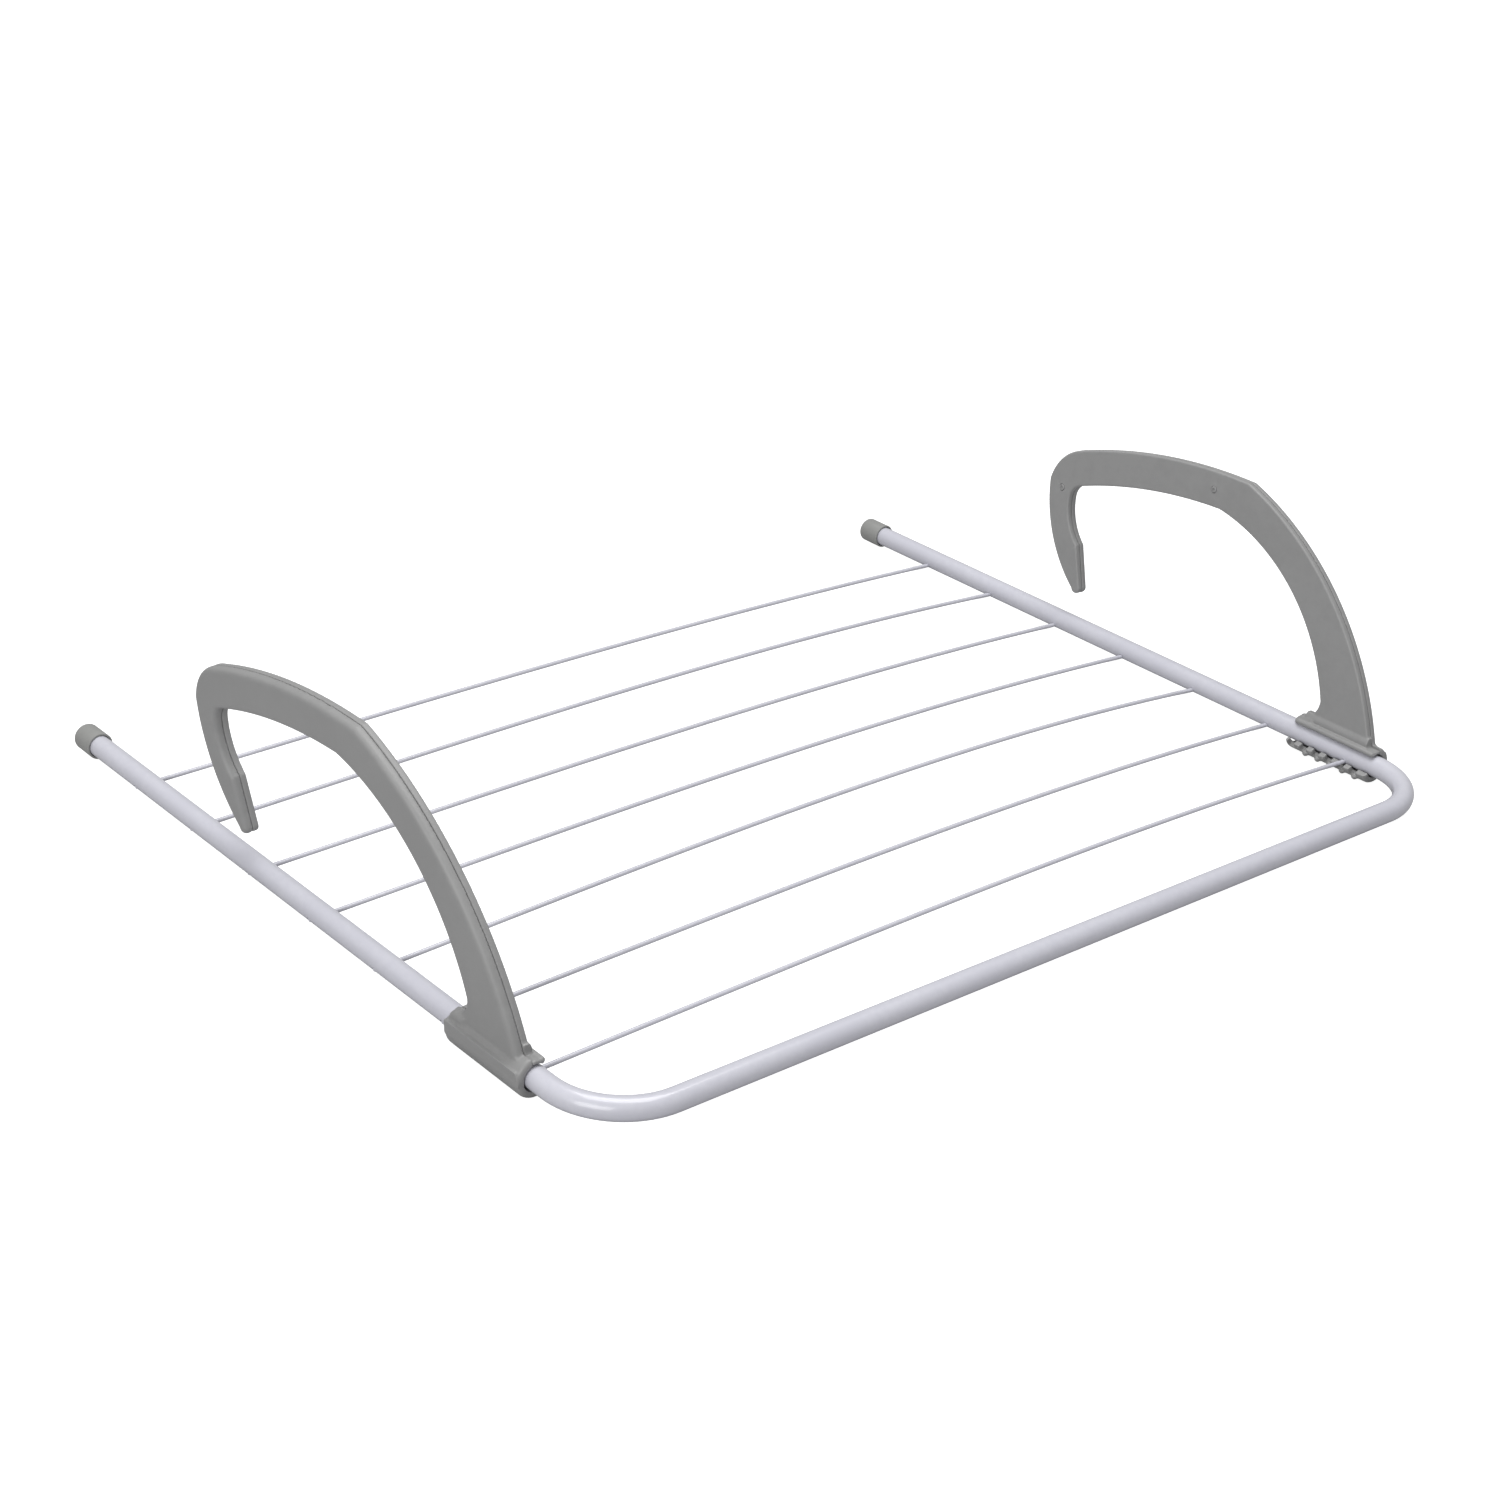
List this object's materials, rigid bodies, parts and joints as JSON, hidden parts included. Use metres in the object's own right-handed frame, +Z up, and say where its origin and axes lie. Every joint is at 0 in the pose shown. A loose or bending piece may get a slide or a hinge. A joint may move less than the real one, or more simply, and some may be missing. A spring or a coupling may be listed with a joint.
{
  "type": "hook over drying rack",
  "caption": "White tube and wire drying tray with grey plastic hook arms that hang it on a radiator, door or bath and fold in over it.",
  "frame": {"origin": "middle of the underside of the airer's bounding box, under the middle of the tray", "axes": "+X across the tray from the left leg to the right one, +Y back along the legs from the front tube to the end caps, +Z up"},
  "size_m": [0.6338, 0.4996, 0.1452],
  "materials": {
    "white_powder_coat": "smooth semi-gloss white powder coat with a faint orange peel",
    "grey_plastic": "fine-grained satin mid-grey moulded plastic"
  },
  "bodies": {
    "tray": {"frame_tube": "white_powder_coat", "left_end_cap": "grey_plastic", "right_end_cap": "grey_plastic", "drying_wire_1": "white_powder_coat", "drying_wire_2": "white_powder_coat", "drying_wire_3": "white_powder_coat", "drying_wire_4": "white_powder_coat", "drying_wire_5": "white_powder_coat", "drying_wire_6": "white_powder_coat", "drying_wire_7": "white_powder_coat"},
    "left_hook": {"left_hook_shell": "grey_plastic", "left_hook_plate": "grey_plastic"},
    "right_hook": {"right_hook_shell": "grey_plastic", "right_hook_plate": "grey_plastic"}
  },
  "joints": [
    {"name": "left_fold", "type": "hinge", "parent": "tray", "child": "left_hook", "pos_m": [-0.3, 0, 0.01099], "axis": [0, 1, 0], "range_deg": [0, 58]},
    {"name": "right_fold", "type": "hinge", "parent": "tray", "child": "right_hook", "pos_m": [0.3, 0, 0.01099], "axis": [0, -1, 0], "range_deg": [0, 58]}
  ]
}
